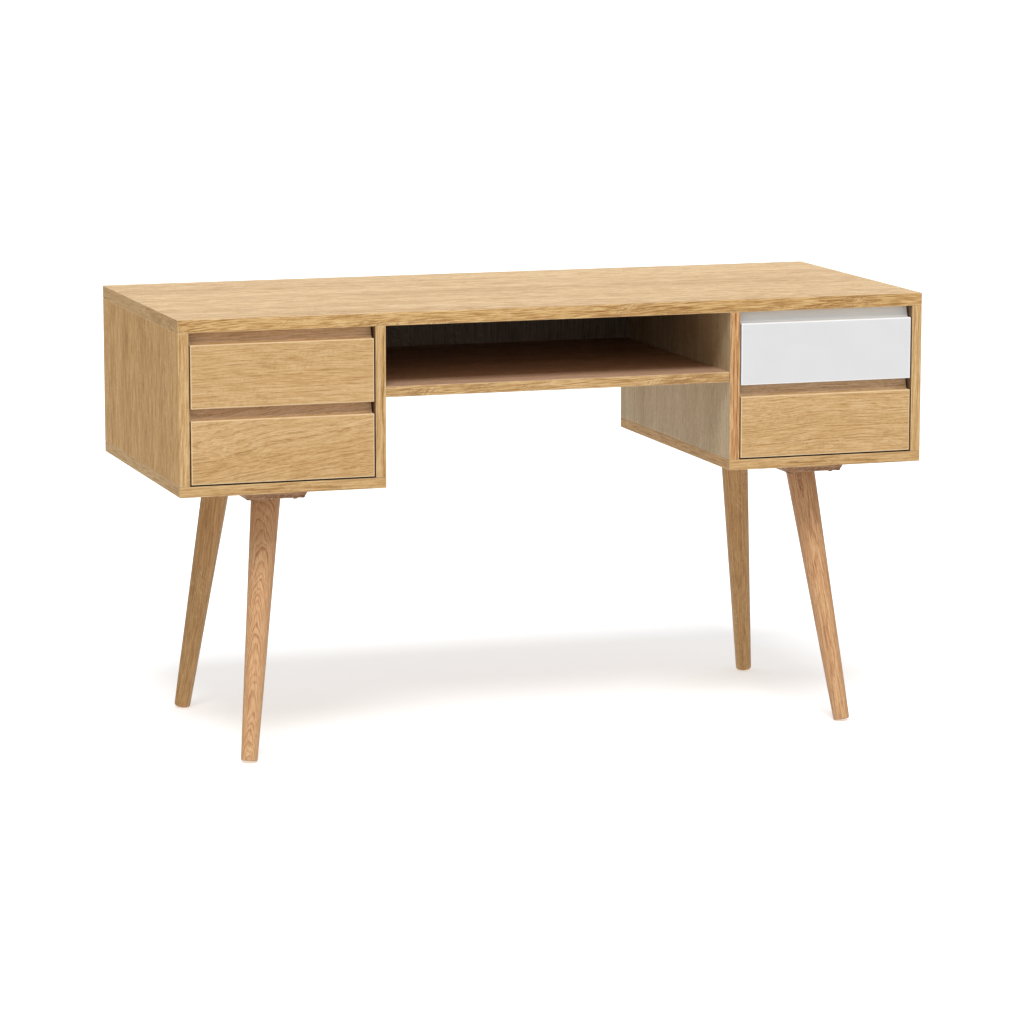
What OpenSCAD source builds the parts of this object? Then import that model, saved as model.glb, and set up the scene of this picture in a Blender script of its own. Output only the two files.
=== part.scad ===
// Writing desk. Two drawer pedestals hang under one long top board, with an
// open shelf bay between them, and stand on four turned legs that splay out
// to the corners. All sizes are in millimetres.
// The origin is on the floor under the middle of the top. +X runs along the
// desk, the drawers open towards -Y, and +Z is up.

/* [Desk] */
// Length of the top board
desk_w = 1320; // [1080:5:1700]
// Depth of the top board, front to back
desk_d = 555; // [460:5:700]
// Height of the upper face above the floor
desk_h = 755; // [625:5:910]

/* [Boards] */
// Thickness of the top board
top_t = 22; // [18:0.5:32]
// Thickness of the side panels, base boards and shelf
board_t = 18; // [15:0.5:25]
// Thickness of the back panels
back_t = 9; // [5:0.5:12]
// From the desk's rear edge to the rear face of the back panels
back_inset = 28; // [5:1:40]
// Depth of the grooves that hold the back panels
back_groove_d = 6; // [3:0.5:7]

/* [Pedestals] */
// Outside width of one pedestal
pedestal_w = 354; // [290:1:430]
// From the desk's upper face down to the underside of a base board
pedestal_h = 294; // [240:1:360]

/* [Shelf] */
// From the desk's upper face down to the shelf's upper face
shelf_drop = 124; // [90:1:160]
// How far the shelf's front edge sits behind the front of the panels
shelf_setback = 3; // [0:0.5:20]

/* [Drawer fronts] */
// Thickness of a drawer front
front_t = 26; // [24:0.5:32]
// Gap beside each front and below the lower one
front_gap = 2.5; // [1:0.1:4]
// Gap above each front
head_gap = 2; // [1:0.1:4]
// Height of the finger recess along the top of a front
grip_h = 18; // [14:0.5:24]
// Depth of the ledge at the foot of the recess
grip_ledge = 14; // [10:0.5:16]
// How far the back of the recess leans back to its top
grip_lean = 6; // [0:0.5:7]

/* [Drawer boxes] */
// Thickness of a drawer's sides and back
box_t = 12; // [10:0.5:16]
// From the front's lower edge up to the drawer sides
box_rise = 12; // [6:1:20]
// From the upper edge of the drawer sides up to the ledge of the front
box_drop = 4; // [2:0.5:12]
// Clear space between a closed drawer and the back panel
box_back_gap = 38; // [10:1:60]
// Thickness of a drawer bottom
bottom_t = 6; // [4:0.5:8]
// From the lower edge of the sides up to the drawer bottom
bottom_rise = 10; // [6:0.5:16]
// Depth of the housings and grooves in the drawer parts
housing_d = 5.5; // [3:0.5:6]
// From the rear end of the sides to the rear face of the drawer back
box_back_inset = 8; // [4:1:20]

/* [Runners] */
// Width of a closed runner, from the panel to the drawer side
runner_t = 12.7; // [12:0.1:16]
// Height of the cabinet member
runner_h = 45; // [38:1:56]
// Thickness of the rolled steel
steel_t = 1.2; // [1:0.1:1.5]
// Space between two members for the balls
ball_space = 4.3; // [3.5:0.1:5]
// Clearance between two members' webs and edges
member_gap = 0.8; // [0.5:0.1:1.2]
// Gap between the drawer front and the runner's end
runner_gap = 2; // [1:0.5:6]

/* [Legs] */
// Diameter of a leg where it meets its plate
leg_top_d = 50; // [36:1:62]
// Diameter of a leg at the foot
leg_foot_d = 28; // [20:1:36]
// Rounding of the foot's lower edge
foot_round = 3; // [1:0.5:5]
// Lean of a leg towards the end of the desk, in degrees
splay_side = 7; // [0:0.5:12]
// Lean of a leg towards the front or the back, in degrees
splay_front = 10; // [0.5:0.5:12]
// From the front or rear edge to a leg's axis at its plate
leg_in = 118; // [100:1:160]

/* [Leg plates] */
// Width of a plate along the desk
plate_w = 108; // [90:1:140]
// Depth of a plate, front to back
plate_d = 136; // [110:1:170]
// Thickness of a plate
plate_t = 18; // [14:0.5:24]
// Width of the bevel around a plate's lower edge
bevel_w = 5; // [0.5:0.5:10]
// Height of that bevel
bevel_h = 9; // [1:0.5:12]
// From a plate's edge to the axes of its screws
plate_screw_in = 17; // [12:1:24]

/* [Fixings] */
// Diameter of the dowels
dowel_d = 8; // [6:1:10]
// Length of the dowels
dowel_len = 30; // [26:1:40]
// Depth that a dowel sinks into the top, a base board or a side panel's face
dowel_sink = 12; // [8:0.5:13]
// From the front and rear edges to the outer dowels
dowel_in = 55; // [50:1:80]
// Diameter of the leg bolts
bolt_d = 8; // [6:1:10]
// Length of bolt inside a leg
bolt_in_leg = 45; // [30:1:60]
// Outside diameter of the threaded inserts
insert_d = 13; // [11:0.5:16]
// Shank diameter of the plate screws
plate_screw_d = 4.5; // [3.5:0.1:6]
// Depth of the plate screws in the base board
plate_screw_bite = 12; // [8:0.5:14]
// Head diameter of the plate screws
plate_head_d = 9; // [7:0.5:12]
// Head height of the plate screws
plate_head_h = 3.2; // [2:0.1:4]
// Shank diameter of the runner screws
runner_screw_d = 3.5; // [3:0.1:4]
// Head diameter of the runner screws
runner_head_d = 6.4; // [5:0.1:8]
// Depth of the runner screws in a pedestal panel
panel_bite = 11; // [8:0.5:12]
// Depth of the runner screws in a drawer side
side_bite = 8; // [6:0.5:9]

/* [Hidden] */
// Names of the two pedestals and of the two drawer rows, in the order of
// pedestal_x and front_z
PEDESTALS = ["left", "right"];
ROWS = ["lower", "upper"];
// Ends of the desk and its two long faces, as signs along X and Y
ENDS = [-1, 1];
FACES = [-1, 1];
function end_name(e) = e < 0 ? "left" : "right";
function face_name(f) = f < 0 ? "front" : "rear";
function leg_name(e, f) = str(face_name(f), "_", end_name(e), "_leg");
function drawer_name(p, row) = str(ROWS[row], "_", PEDESTALS[p], "_drawer");
function runner_name(p, row, member) = str(ROWS[row], "_", PEDESTALS[p], "_", member);

// Finishes
oak = "#d9b27c";
leg_oak = "#cf9f70";
white_lacquer = "#eceef0";
box_wood = "#e6cfa4";
beech = "#e2bd8c";
steel = "#b9bdc2";

// Facets of round parts
ROUND = 64;
SMALL = 32;
// Steps of the arc on a foot's edge
FOOT_STEPS = 6;

// Room round a piece in its hole or groove
joint_gap = 0.1;
// Room past the end of a dowel, screw or panel
end_gap = 0.5;
// Extra length that takes a cut clean through a face
over = 1;
// Wood left over a threaded insert
insert_cover = 4;

// Bought runners come in steps of this length
runner_step = 50;
// Screws in one runner member, and how far the outer ones are from its ends
runner_screw_count = 3;
runner_screw_in = 35;
// Dowels along one edge of a board
dowel_count = 3;
// Chamfer on the ends of a dowel
dowel_chamfer = 1;
// Length of a screw's point
screw_point = 2.5;

// Levels and faces of the carcass
front_y = -desk_d / 2;
rear_y = desk_d / 2;
under_top = desk_h - top_t;
base_under = desk_h - pedestal_h;
base_top = base_under + board_t;
panel_h = under_top - base_top;
opening_w = pedestal_w - 2 * board_t;
bay_w = desk_w - 2 * pedestal_w;
back_y = rear_y - back_inset - back_t;
shelf_top = desk_h - shelf_drop;
shelf_y = front_y + shelf_setback;
shelf_d = desk_d - shelf_setback - back_inset;
// Left faces of the two pedestals, and of the four side panels from left to right
pedestal_x = [-desk_w / 2, desk_w / 2 - pedestal_w];
panel_x = [for (x = pedestal_x, inside = [0, pedestal_w - board_t]) x + inside];

// Drawer fronts: two of one height fill the opening with their gaps
front_h = (panel_h - front_gap - 2 * head_gap) / 2;
front_w = opening_w - 2 * front_gap;
face_h = front_h - grip_h;
front_z = [for (row = [0, 1]) base_top + front_gap + row * (front_h + head_gap)];

// Drawer boxes, behind their fronts and between their runners
box_y = front_y + front_t;
box_w = opening_w - 2 * runner_t;
box_h = face_h - box_rise - box_drop;
box_len = back_y - box_y - box_back_gap;
box_back_y = box_y + box_len - box_back_inset - box_t;
inner_box_w = box_w - 2 * box_t;
bottom_top = bottom_rise + bottom_t;
function box_x(p) = pedestal_x[p] + board_t + runner_t;
function box_z(row) = front_z[row] + box_rise;

// Runners: half heights of the three members, and where their screws are
runner_len = runner_step * floor((box_len - runner_gap) / runner_step);
runner_y = box_y + runner_gap;
cabinet_half = runner_h / 2;
middle_half = cabinet_half - steel_t - ball_space;
drawer_half = middle_half - steel_t - ball_space;
web_step = steel_t + member_gap;
runner_screw_pitch = (runner_len - 2 * runner_screw_in) / (runner_screw_count - 1);
runner_screw_y = [
    for (i = [0 : runner_screw_count - 1]) runner_y + runner_screw_in + i * runner_screw_pitch
];
function runner_z(row) = box_z(row) + box_h / 2;

// Legs: a plane foot square to the leg rests on its lower edge
plate_under = base_under - plate_t;
lean_x = tan(splay_side);
lean_y = tan(splay_front);
tilt = atan(norm([lean_x, lean_y]));
foot_lift = (leg_foot_d / 2 - foot_round) * sin(tilt) + foot_round * (1 - cos(tilt));
leg_len = (plate_under - foot_lift) / cos(tilt);
leg_over = leg_top_d / 2 * tan(tilt) + over;
leg_taper = (leg_top_d - leg_foot_d) / 2 / leg_len;
insert_len = plate_t - insert_cover;
plate_screw_x = plate_w / 2 - plate_screw_in;
plate_screw_y = plate_d / 2 - plate_screw_in;

// Dowel rows along the depth
function row_of(start, length) = [
    for (i = [0 : dowel_count - 1])
        start + dowel_in + i * (length - 2 * dowel_in) / (dowel_count - 1)
];
panel_dowel_y = row_of(front_y, desk_d);
shelf_dowel_y = row_of(shelf_y, shelf_d);
shelf_dowel_z = shelf_top - board_t / 2;

// A straight board with its low corner at a place
module board(place, size) {
    translate(place) cube(size);
}

// A blind round hole of shank size d, down from z = 0
module blind_hole(d, depth) {
    translate([0, 0, -depth - end_gap])
        cylinder(h = depth + end_gap + over, d = d + 2 * joint_gap, $fn = SMALL);
}

// A dowel with depth of its length below z = 0
module dowel(depth) {
    r = dowel_d / 2;
    c = dowel_chamfer;
    translate([0, 0, -depth])
        rotate_extrude($fn = SMALL)
            polygon([
                [0, 0], [r - c, 0], [r, c],
                [r, dowel_len - c], [r - c, dowel_len], [0, dowel_len]
            ]);
}

// Outline of a screw's shank, down from z = 0 to its point
function shank(d, bite) = [[0, -bite], [d / 2, screw_point - bite], [d / 2, 0]];

// Places on the lower or upper edge of a side panel where its dowels stand
module at_panel_dowels(i, z) {
    for (y = panel_dowel_y)
        translate([panel_x[i] + board_t / 2, y, z]) children();
}

// Places of the shelf's dowels at one end of the bay. +Z points out of the bay.
module at_shelf_dowels(e) {
    for (y = shelf_dowel_y)
        translate([e * bay_w / 2, y, shelf_dowel_z])
            rotate([0, e * 90, 0]) children();
}

// Places of the runner screws beside one drawer, at u from the pedestal's two
// panels. +Z points away from the panel.
module at_runner_screws(p, row, u) {
    for (e = ENDS, y = runner_screw_y) {
        wall_x = e < 0 ? u : opening_w - u;
        translate([pedestal_x[p] + board_t + wall_x, y, runner_z(row)])
            rotate([0, -e * 90, 0]) children();
    }
}

// The top board, with blind holes for the panels' dowels
module desk_top() {
    color(oak)
    difference() {
        board([-desk_w / 2, front_y, under_top], [desk_w, desk_d, top_t]);
        for (i = [0 : 3])
            at_panel_dowels(i, under_top)
                rotate([180, 0, 0]) blind_hole(dowel_d, dowel_sink);
    }
}

// A side panel of pedestal p, grooved for the back and drilled for dowels and runners
module side_panel(i, p) {
    opening_x = pedestal_x[p] + board_t;
    difference() {
        board([panel_x[i], front_y, base_top], [board_t, desk_d, panel_h]);
        board(
            [opening_x - back_groove_d, back_y - joint_gap, base_top - over],
            [opening_w + 2 * back_groove_d, back_t + 2 * joint_gap, panel_h + 2 * over]
        );
        at_panel_dowels(i, under_top) blind_hole(dowel_d, dowel_len - dowel_sink);
        at_panel_dowels(i, base_top)
            rotate([180, 0, 0]) blind_hole(dowel_d, dowel_len - dowel_sink);
        for (row = [0, 1])
            at_runner_screws(p, row, 0) blind_hole(runner_screw_d, panel_bite);
    }
}

// An inner panel also carries the shelf and the bay's back panel
module inner_panel(i, p, e) {
    difference() {
        side_panel(i, p);
        board(
            [-bay_w / 2 - back_groove_d, back_y - joint_gap, shelf_top],
            [bay_w + 2 * back_groove_d, back_t + 2 * joint_gap, under_top - shelf_top + over]
        );
        at_shelf_dowels(e) rotate([180, 0, 0]) blind_hole(dowel_d, dowel_sink);
    }
}

module left_outer_side() {
    color(oak) side_panel(0, 0);
}

module left_inner_side() {
    color(oak) inner_panel(1, 0, -1);
}

module right_inner_side() {
    color(oak) inner_panel(2, 1, 1);
}

module right_outer_side() {
    color(oak) side_panel(3, 1);
}

// The board under one pedestal, with holes for dowels above and plate screws below
module base_board(p) {
    color(oak)
    difference() {
        board([pedestal_x[p], front_y, base_under], [pedestal_w, desk_d, board_t]);
        for (i = [2 * p, 2 * p + 1])
            at_panel_dowels(i, base_top) blind_hole(dowel_d, dowel_sink);
        for (f = FACES)
            at_plate_screws(ENDS[p], f, base_under)
                rotate([180, 0, 0]) blind_hole(plate_screw_d, plate_screw_bite);
    }
}

// The back of one pedestal, held in its panels' grooves
module pedestal_back(p) {
    tongue = back_groove_d - end_gap;
    color(oak)
    board(
        [pedestal_x[p] + board_t - tongue, back_y, base_top],
        [opening_w + 2 * tongue, back_t, panel_h]
    );
}

// The back of the bay, standing on the shelf
module centre_back_panel() {
    tongue = back_groove_d - end_gap;
    color(oak)
    board(
        [-bay_w / 2 - tongue, back_y, shelf_top],
        [bay_w + 2 * tongue, back_t, under_top - shelf_top]
    );
}

module centre_shelf() {
    color(oak)
    difference() {
        board([-bay_w / 2, shelf_y, shelf_top - board_t], [bay_w, shelf_d, board_t]);
        for (e = ENDS)
            at_shelf_dowels(e) blind_hole(dowel_d, dowel_len - dowel_sink);
    }
}

// Every dowel of the carcass
module carcass_dowels() {
    color(beech) {
        for (i = [0 : 3]) {
            at_panel_dowels(i, under_top) dowel(dowel_len - dowel_sink);
            at_panel_dowels(i, base_top) dowel(dowel_sink);
        }
        for (e = ENDS)
            at_shelf_dowels(e) dowel(dowel_len - dowel_sink);
    }
}

// The middle of the leg plate at end e and face f, at height z
module at_plate(e, f, z) {
    x = e * (desk_w - pedestal_w) / 2;
    translate([x, f * (desk_d / 2 - leg_in), z]) children();
}

// Places of one plate's screws. +Z points up.
module at_plate_screws(e, f, z) {
    at_plate(e, f, z)
        for (i = [-1, 1], j = [-1, 1])
            translate([i * plate_screw_x, j * plate_screw_y, 0]) children();
}

// A leg's own frame: the origin is where its axis meets the plate, +Z runs up the axis
module at_leg(e, f) {
    at_plate(e, f, plate_under)
        rotate([0, tilt, atan2(-f * lean_y, -e * lean_x)]) children();
}

// Outline of a plate's section: square above, bevelled below
function plate_outline(w) = [
    [bevel_w - w / 2, 0], [w / 2 - bevel_w, 0], [w / 2, bevel_h],
    [w / 2, plate_t], [-w / 2, plate_t], [-w / 2, bevel_h]
];

module leg_plate(e, f) {
    color(leg_oak)
    difference() {
        at_plate(e, f, plate_under)
            intersection() {
                translate([0, plate_d / 2, 0])
                    rotate([90, 0, 0]) linear_extrude(plate_d) polygon(plate_outline(plate_w));
                translate([-plate_w / 2, 0, 0])
                    rotate([90, 0, 90]) linear_extrude(plate_w) polygon(plate_outline(plate_d));
            }
        at_plate_screws(e, f, plate_under - over)
            cylinder(h = plate_t + 2 * over, d = plate_screw_d + 2 * joint_gap, $fn = SMALL);
        at_plate(e, f, plate_under) rotate([180, 0, 0]) blind_hole(insert_d, insert_len);
    }
}

// A turned leg, square at the foot and cut level under its plate
module leg(e, f) {
    foot_r = leg_foot_d / 2;
    top_r = leg_top_d / 2 + leg_taper * leg_over;
    color(leg_oak)
    difference() {
        at_leg(e, f)
            rotate_extrude($fn = ROUND)
                polygon(concat(
                    [[0, -leg_len]],
                    [for (i = [0 : FOOT_STEPS])
                        [
                            foot_r - foot_round + foot_round * sin(90 * i / FOOT_STEPS),
                            foot_round - leg_len - foot_round * cos(90 * i / FOOT_STEPS)
                        ]],
                    [[top_r, leg_over], [0, leg_over]]
                ));
        at_plate(e, f, plate_under)
            translate([-leg_top_d, -leg_top_d, 0]) cube(2 * leg_top_d);
        at_plate(e, f, plate_under) blind_hole(bolt_d, bolt_in_leg);
    }
}

// Upright bolts from the wood of the legs into the inserts
module leg_bolts() {
    color(steel)
    for (e = ENDS, f = FACES)
        at_plate(e, f, plate_under - bolt_in_leg)
            cylinder(h = bolt_in_leg + insert_len, d = bolt_d, $fn = SMALL);
}

// Threaded sleeves sunk in the plates
module leg_inserts() {
    inner_r = bolt_d / 2 + joint_gap;
    color(steel)
    for (e = ENDS, f = FACES)
        at_plate(e, f, plate_under)
            rotate_extrude($fn = SMALL)
                translate([inner_r, 0]) square([insert_d / 2 - inner_r, insert_len]);
}

// Domed screws that hold the plates to the base boards
module leg_plate_screws() {
    r = plate_head_d / 2;
    h = plate_head_h;
    bite = plate_t + plate_screw_bite;
    color(steel)
    for (e = ENDS, f = FACES)
        at_plate_screws(e, f, plate_under)
            mirror([0, 0, 1])
                rotate_extrude($fn = SMALL)
                    polygon(concat(
                        shank(plate_screw_d, bite),
                        [[r, 0], [r, h / 3], [0.85 * r, 0.75 * h], [0.5 * r, h], [0, h]]
                    ));
}

// A rolled channel beside one drawer, once on each side. Its web is at u and
// its edges at u_tip, both from the panel's face.
module runner_members(p, row, u, u_tip, half) {
    s = sign(u_tip - u) * steel_t;
    outline = [
        [u, -half], [u_tip, -half], [u_tip, steel_t - half], [u + s, steel_t - half],
        [u + s, half - steel_t], [u_tip, half - steel_t], [u_tip, half], [u, half]
    ];
    for (e = ENDS)
        translate([
            pedestal_x[p] + board_t + (e < 0 ? 0 : opening_w),
            runner_y + runner_len,
            runner_z(row)
        ])
            mirror([e < 0 ? 0 : 1, 0, 0])
                rotate([90, 0, 0]) linear_extrude(runner_len) polygon(outline);
}

// A sunk screw head's hole through a web that stands on z = 0
module sunk_hole() {
    cylinder(
        h = steel_t,
        d1 = runner_screw_d + 2 * joint_gap,
        d2 = runner_head_d + 2 * joint_gap,
        $fn = SMALL
    );
}

// A sunk screw with its head's face at z = steel_t
module sunk_screw(bite) {
    rotate_extrude($fn = SMALL)
        polygon(concat(
            shank(runner_screw_d, bite),
            [[runner_head_d / 2, steel_t], [0, steel_t]]
        ));
}

module cabinet_runners(p, row) {
    color(steel)
    difference() {
        runner_members(p, row, 0, runner_t - 2 * member_gap, cabinet_half);
        at_runner_screws(p, row, 0) sunk_hole();
    }
}

module middle_runners(p, row) {
    color(steel)
    runner_members(p, row, web_step, runner_t - 2 * member_gap, middle_half);
}

module drawer_runners(p, row) {
    color(steel)
    difference() {
        runner_members(p, row, runner_t, 2 * web_step, drawer_half);
        at_runner_screws(p, row, runner_t) mirror([0, 0, 1]) sunk_hole();
    }
}

module runner_screws() {
    color(steel)
    for (p = [0, 1], row = [0, 1])
        at_runner_screws(p, row, 0) sunk_screw(panel_bite);
}

module drawer_screws(p, row) {
    color(steel)
    at_runner_screws(p, row, runner_t) mirror([0, 0, 1]) sunk_screw(side_bite);
}

// A front with its finger recess, housed at the back for the sides and the bottom
module drawer_front(p, row) {
    x = pedestal_x[p] + board_t + front_gap;
    outline = [
        [0, 0], [front_t, 0], [front_t, front_h], [grip_ledge + grip_lean, front_h],
        [grip_ledge, face_h], [0, face_h]
    ];
    groove_x = box_t - housing_d;
    color(p == 1 && row == 1 ? white_lacquer : oak)
    difference() {
        translate([x, front_y, front_z[row]])
            rotate([90, 0, 90]) linear_extrude(front_w) polygon(outline);
        for (inside = [0, box_w - box_t])
            board(
                [box_x(p) + inside - joint_gap, box_y - housing_d, box_z(row) - joint_gap],
                [box_t + 2 * joint_gap, housing_d + over, box_h + 2 * joint_gap]
            );
        board(
            [box_x(p) + groove_x, box_y - housing_d, box_z(row) + bottom_rise],
            [box_w - 2 * groove_x, housing_d + over, bottom_t + joint_gap]
        );
    }
}

// A drawer side, inside is 0 for the left one and box_w - box_t for the right one
module drawer_side(p, row, inside) {
    groove_x = box_t - housing_d;
    color(box_wood)
    difference() {
        board(
            [box_x(p) + inside, box_y - housing_d, box_z(row)],
            [box_t, housing_d + box_len, box_h]
        );
        board(
            [box_x(p) + groove_x, box_y - housing_d - over, box_z(row) + bottom_rise],
            [box_w - 2 * groove_x, housing_d + box_len + 2 * over, bottom_t + joint_gap]
        );
        board(
            [box_x(p) + groove_x, box_back_y - joint_gap, box_z(row) + bottom_top],
            [box_w - 2 * groove_x, box_t + 2 * joint_gap, box_h]
        );
        at_runner_screws(p, row, runner_t) mirror([0, 0, 1]) blind_hole(runner_screw_d, side_bite);
    }
}

// The drawer's back stands on its bottom
module drawer_back(p, row) {
    groove_x = box_t - housing_d;
    color(box_wood)
    board(
        [box_x(p) + groove_x, box_back_y, box_z(row) + bottom_top],
        [box_w - 2 * groove_x, box_t, box_h - bottom_top]
    );
}

module drawer_bottom(p, row) {
    edge_x = box_t - housing_d + end_gap;
    color(box_wood)
    board(
        [box_x(p) + edge_x, box_y - housing_d + end_gap, box_z(row) + bottom_rise],
        [
            box_w - 2 * edge_x,
            box_back_y + box_t - box_y + housing_d - end_gap,
            bottom_t
        ]
    );
}

desk_top();
left_outer_side();
left_inner_side();
right_inner_side();
right_outer_side();
centre_back_panel();
centre_shelf();
leg_bolts();
leg_inserts();
leg_plate_screws();
carcass_dowels();
runner_screws();

for (e = ENDS, f = FACES) {
    leg(e, f);
    leg_plate(e, f);
}

for (p = [0, 1]) {
    base_board(p);
    pedestal_back(p);
}

for (p = [0, 1], row = [0, 1]) {
    name = drawer_name(p, row);
    cabinet_runners(p, row);
    middle_runners(p, row);
    drawer_front(p, row);
    drawer_side(p, row, 0);
    drawer_side(p, row, box_w - box_t);
    drawer_back(p, row);
    drawer_bottom(p, row);
    drawer_runners(p, row);
    drawer_screws(p, row);
}
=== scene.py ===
"""A writing desk in oak: boards with eased edges, turned legs, drawers on ball runners."""
import math

import bmesh
import bpy
import numpy as np
from mathutils import Matrix, Vector


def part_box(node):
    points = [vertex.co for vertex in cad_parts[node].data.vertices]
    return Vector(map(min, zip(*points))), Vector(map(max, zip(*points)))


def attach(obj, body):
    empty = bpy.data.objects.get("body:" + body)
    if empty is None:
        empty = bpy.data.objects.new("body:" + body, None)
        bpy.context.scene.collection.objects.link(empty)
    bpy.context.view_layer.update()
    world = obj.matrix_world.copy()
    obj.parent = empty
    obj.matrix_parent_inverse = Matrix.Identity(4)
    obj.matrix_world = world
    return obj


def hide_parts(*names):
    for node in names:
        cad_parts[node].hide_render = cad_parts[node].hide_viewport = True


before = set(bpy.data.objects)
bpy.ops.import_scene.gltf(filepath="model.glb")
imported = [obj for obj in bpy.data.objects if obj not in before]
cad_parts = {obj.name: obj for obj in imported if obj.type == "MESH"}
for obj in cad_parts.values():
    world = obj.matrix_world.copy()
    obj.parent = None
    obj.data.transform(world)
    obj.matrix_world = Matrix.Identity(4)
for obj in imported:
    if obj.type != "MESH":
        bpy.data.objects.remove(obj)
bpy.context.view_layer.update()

MM = 0.001
X, Y, Z = Vector((1, 0, 0)), Vector((0, 1, 0)), Vector((0, 0, 1))

# Shape of the eased edges
EASE = 0.9 * MM
FRONT_EASE = 0.8 * MM
BROKEN = 0.25 * MM
BOX_EASE = 0.6 * MM
ARC_STEPS = 3
# Width of the narrow face between an eased edge and the flat beside it
MARGIN = 1.6 * MM
# Edges that turn by more than this stay crisp
CRISP = math.radians(50)
# Points closer than this are one
SAME_PLACE = 1e-6

# Grooves, as in the carcass and the drawer boxes
JOINT_GAP = 0.1 * MM
TONGUE_END_GAP = 0.5 * MM

# Finger recess of a drawer front
GRIP_H = 18 * MM
GRIP_LEDGE = 14 * MM
GRIP_LEAN = 6 * MM
GRIP_ROOT = 1.5 * MM

# Balls of the runners: rows at a height from the runner's middle and a reach from the panel
BALL_D = 4.1 * MM
BALL_ROWS = 7
BALL_AROUND = 8
BALLS_IN_ROW = 14
OUTER_ROW = 19.15 * MM
OUTER_REACH = 6.6 * MM
OUTER_START = 232 * MM
INNER_ROW = 13.65 * MM
INNER_REACH = 7.6 * MM
INNER_START = 18 * MM
CAGE_L = 200 * MM
CAGE_W = 6.4 * MM
CAGE_T = 0.7 * MM

# Legs and the bevel round their plates
LEG_TOP_D = 50 * MM
LEG_FOOT_D = 28 * MM
FOOT_ROUND = 3 * MM
LEG_AROUND = 72
LEG_ROWS = 40
PLATE_BEVEL_IN = 5 * MM
PLATE_BEVEL_UP = 9 * MM
PLATE_CORNER = 2 * MM
PLATE_BEVEL_EASE = (1.5 * MM, 3 * MM)

WHITE_DRAWER = "upper_right"

ENDS = ("left", "right")
ROWS = ("lower", "upper")
FACES = ("front", "rear")
DRAWERS = [f"{row}_{end}" for end in ENDS for row in ROWS]


# ---------------- meshes

def ring_quads(rings, around):
    """Quads between neighbouring rings of a grid, closed around."""
    ring = np.arange(rings - 1)[:, None] * around
    step = np.arange(around)[None, :]
    after = (step + 1) % around
    quads = np.stack([ring + step, ring + after, ring + around + after, ring + around + step], -1)
    return quads.reshape(-1, 4)


def ring_faces(rings, around):
    """The quads of a grid's rings, then one flat face on each end."""
    first = np.arange(around)[::-1]
    last = (rings - 1) * around + np.arange(around)
    return ring_quads(rings, around).tolist() + [first.tolist(), last.tolist()]


def finish_mesh(name, points, faces, wear_and_highlight=None):
    """A mesh object at the origin. Doubles are merged, faces are turned outwards, and sharp edges
    stay crisp. The last argument says, 0 to 1, how much each point is scuffed and lit by a painted
    highlight."""
    mesh = bpy.data.meshes.new(name)
    mesh.from_pydata(points.reshape(-1, 3).tolist(), [], faces)
    # Painted highlight: the eased edges' mask, kept as a point attribute, pales them as scuffing
    # and as a highlight
    if wear_and_highlight is not None:
        rubbed_and_highlit = mesh.attributes.new("wear_and_highlight", "FLOAT", "POINT")
        rubbed_and_highlit.data.foreach_set("value", np.ascontiguousarray(wear_and_highlight, np.float32).ravel())
    shell = bmesh.new()
    shell.from_mesh(mesh)
    bmesh.ops.remove_doubles(shell, verts=shell.verts, dist=SAME_PLACE)
    bmesh.ops.dissolve_degenerate(shell, edges=shell.edges, dist=SAME_PLACE / 10)
    bmesh.ops.recalc_face_normals(shell, faces=shell.faces)
    shell.to_mesh(mesh)
    shell.free()
    mesh.shade_smooth()
    mesh.set_sharp_from_angle(angle=CRISP)
    piece = bpy.data.objects.new(name, mesh)
    bpy.context.scene.collection.objects.link(piece)
    return piece


def unit(vectors):
    return vectors / np.linalg.norm(vectors, axis=-1, keepdims=True)


def eased_outline(corners, radius):
    """An outline, anticlockwise, with each corner made an arc, and one more point past each end
    of the arc. Returns a function that gives the outline moved inwards by an inset, and how much
    each point is scuffed and given a painted highlight: 1 on an outer corner's arc, 0 elsewhere.
    A corner's arc is centre + radius * normal, where the normal turns from one edge's normal n1 to
    the next one's n2, and the centre is the corner less radius * (n1 + n2) / (1 + n1.n2)."""
    corners = np.asarray(corners, float)
    along_out = unit(np.roll(corners, -1, 0) - corners)
    along_in = np.roll(along_out, 1, 0)
    out_in = np.stack([along_in[:, 1], -along_in[:, 0]], -1)
    out_out = np.stack([along_out[:, 1], -along_out[:, 0]], -1)
    turn = along_in[:, 0] * along_out[:, 1] - along_in[:, 1] * along_out[:, 0]
    radii = np.broadcast_to(radius, len(corners)) * np.sign(turn)
    mitre = (out_in + out_out) / (1 + (out_in * out_out).sum(-1, keepdims=True))
    centre = corners - radii[:, None] * mitre
    t = np.linspace(0, 1, ARC_STEPS + 1)[None, :, None]
    normals = unit((1 - t) * out_in[:, None] + t * out_out[:, None])
    worn_and_highlit = np.zeros((len(corners), ARC_STEPS + 3))
    worn_and_highlit[:, 1:-1] = (turn > 0)[:, None]

    def moved(inset):
        left = radii - inset
        arc = np.where(left * np.sign(radii) > 0, left, 0)[:, None, None] * normals
        pulled = np.where(radii > 0, np.minimum(left, 0), 0)
        middle = (centre + pulled[:, None] * mitre)[:, None]
        edge_in = centre + left[:, None] * out_in - MARGIN * along_in
        edge_out = centre + left[:, None] * out_out + MARGIN * along_out
        return np.concatenate([edge_in[:, None], middle + arc, edge_out[:, None]], 1).reshape(-1, 2)

    return moved, worn_and_highlit.ravel()


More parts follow.
